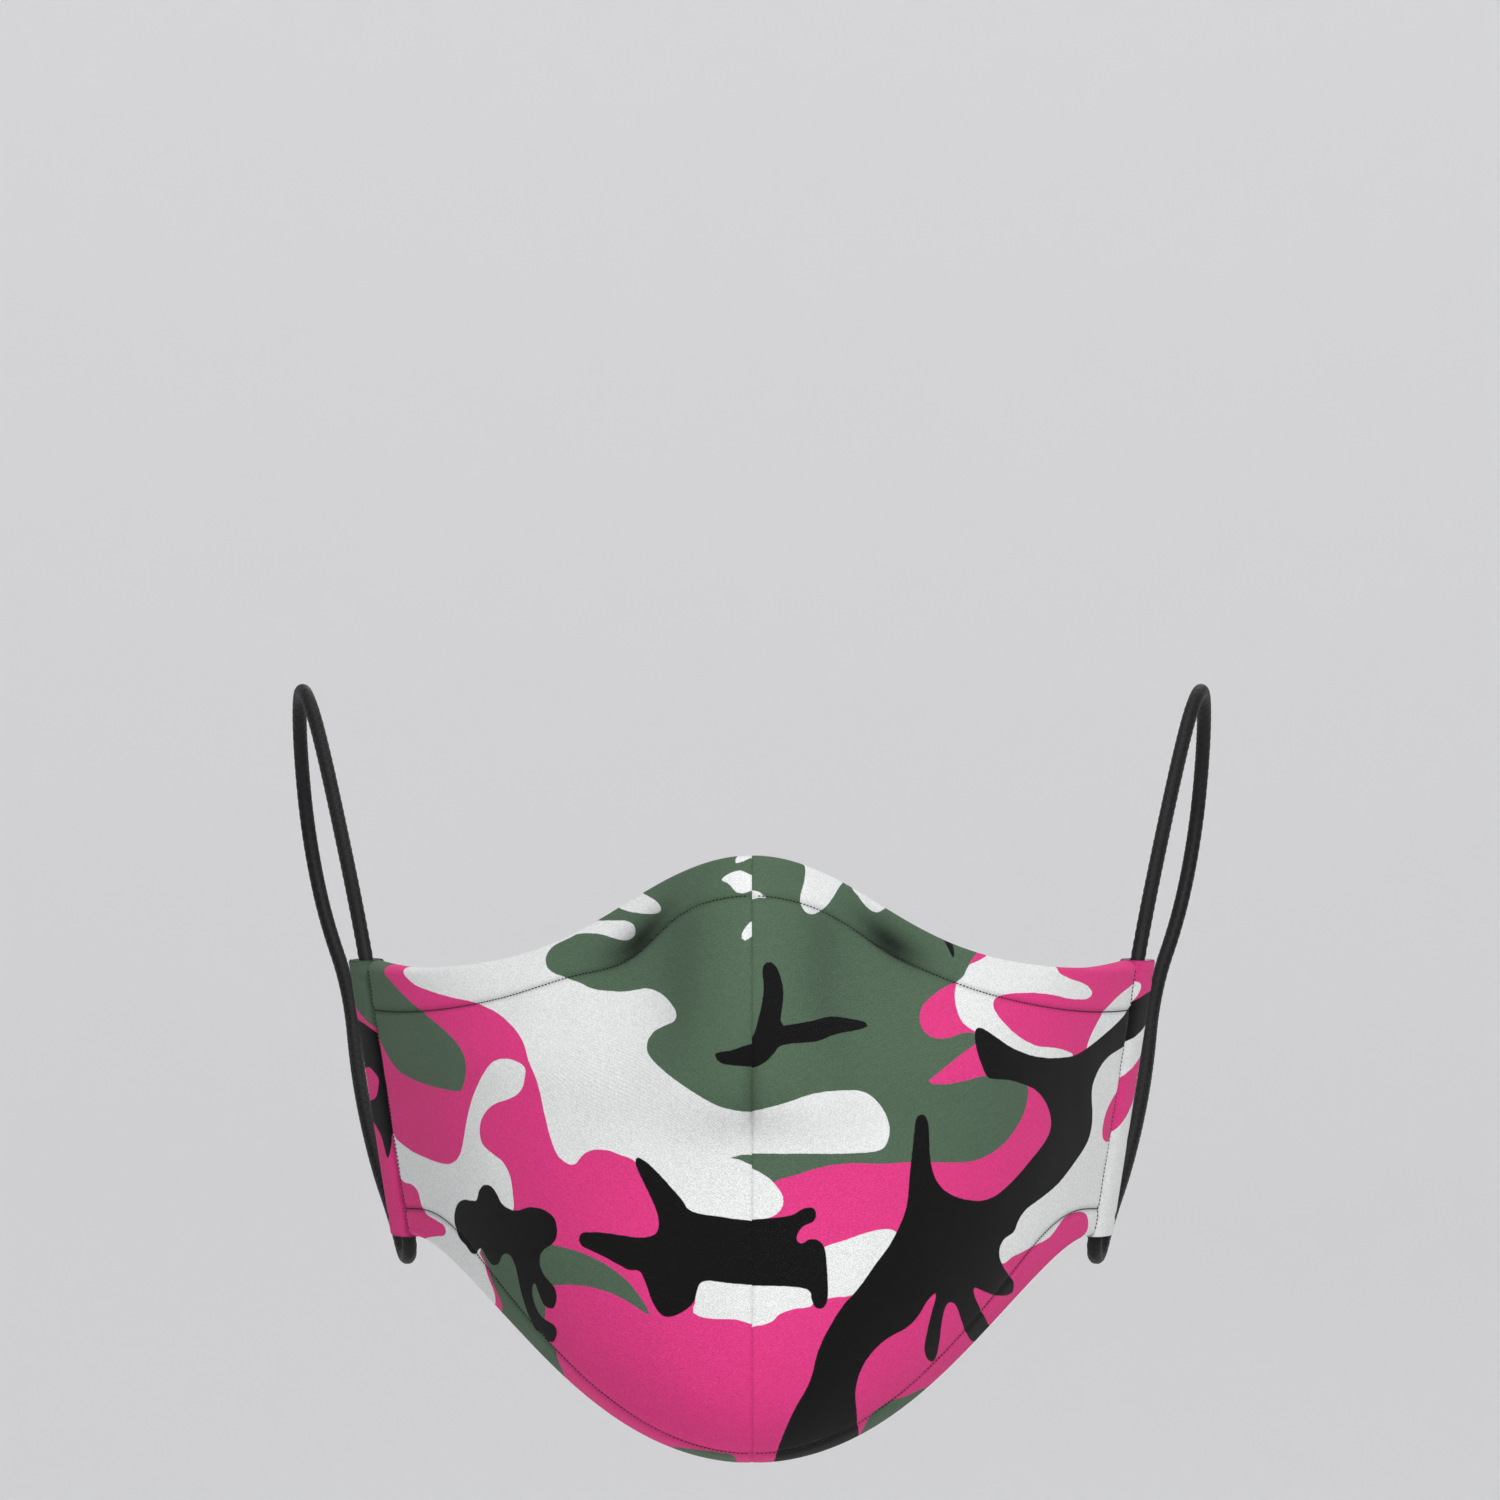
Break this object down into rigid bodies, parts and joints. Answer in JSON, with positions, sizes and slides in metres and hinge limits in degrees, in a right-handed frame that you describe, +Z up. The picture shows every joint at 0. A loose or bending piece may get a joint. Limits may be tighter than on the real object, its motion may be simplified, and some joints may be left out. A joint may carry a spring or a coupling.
{
  "type": "face mask",
  "caption": "Fitted reusable cloth face mask, camouflage print, centre seam over the nose, side casings with elastic ear loops, nose wire and filter pocket",
  "frame": {"origin": "where the inside of the top edge rests on the bridge of the nose, on the mirror plane", "axes": "+Z up as worn, -Y out of the front of the mask, +X to the wearer's left"},
  "size_m": [0.1518, 0.1358, 0.1212],
  "materials": {
    "camo_cloth": "printed polyester knit, pink ground with green, white and black camouflage patches",
    "lining_cloth": "plain white cotton",
    "black_elastic": "soft braided elastic",
    "black_thread": "polyester sewing thread",
    "white_thread": "polyester sewing thread",
    "seam_tape": "cotton twill tape",
    "coated_wire": "white plastic-coated flat wire",
    "nonwoven": "spunbond nonwoven",
    "meltblown": "meltblown nonwoven",
    "carbon_cloth": "activated carbon cloth",
    "label_satin": "blank satin tape"
  },
  "bodies": {
    "mask": {"care_label": "label_satin", "casing_stitching_left": "black_thread", "casing_stitching_right": "black_thread", "centre_seam_tape": "seam_tape", "chin_hem_stitching": "black_thread", "filter_carbon_cloth": "carbon_cloth", "filter_face_nonwoven": "nonwoven", "filter_front_nonwoven": "nonwoven", "filter_inner_meltblown": "meltblown", "filter_outer_meltblown": "meltblown", "lining_left": "lining_cloth", "lining_right": "lining_cloth", "nose_wire": "coated_wire", "nose_wire_cover": "lining_cloth", "outer_panel_left": "camo_cloth", "outer_panel_right": "camo_cloth", "pocket_stitching_left": "white_thread", "pocket_stitching_right": "white_thread", "side_casing_left": "camo_cloth", "side_casing_right": "camo_cloth", "top_hem_stitching": "black_thread"},
    "left_ear_loop": {"ear_loop_left": "black_elastic", "ear_loop_core_left": "black_elastic", "ear_loop_join_left": "black_thread"},
    "right_ear_loop": {"ear_loop_right": "black_elastic", "ear_loop_core_right": "black_elastic", "ear_loop_join_right": "black_thread"}
  },
  "joints": [
    {"name": "left_ear_loop_swing", "type": "hinge", "parent": "mask", "child": "left_ear_loop", "pos_m": [0.06171, 0.05828, -0.01639], "axis": [-0.1589, -0.2207, -0.9623], "range_deg": [-75, 120]},
    {"name": "right_ear_loop_swing", "type": "hinge", "parent": "mask", "child": "right_ear_loop", "pos_m": [-0.06171, 0.05828, -0.01639], "axis": [-0.1589, 0.2207, 0.9623], "range_deg": [-75, 120]}
  ]
}
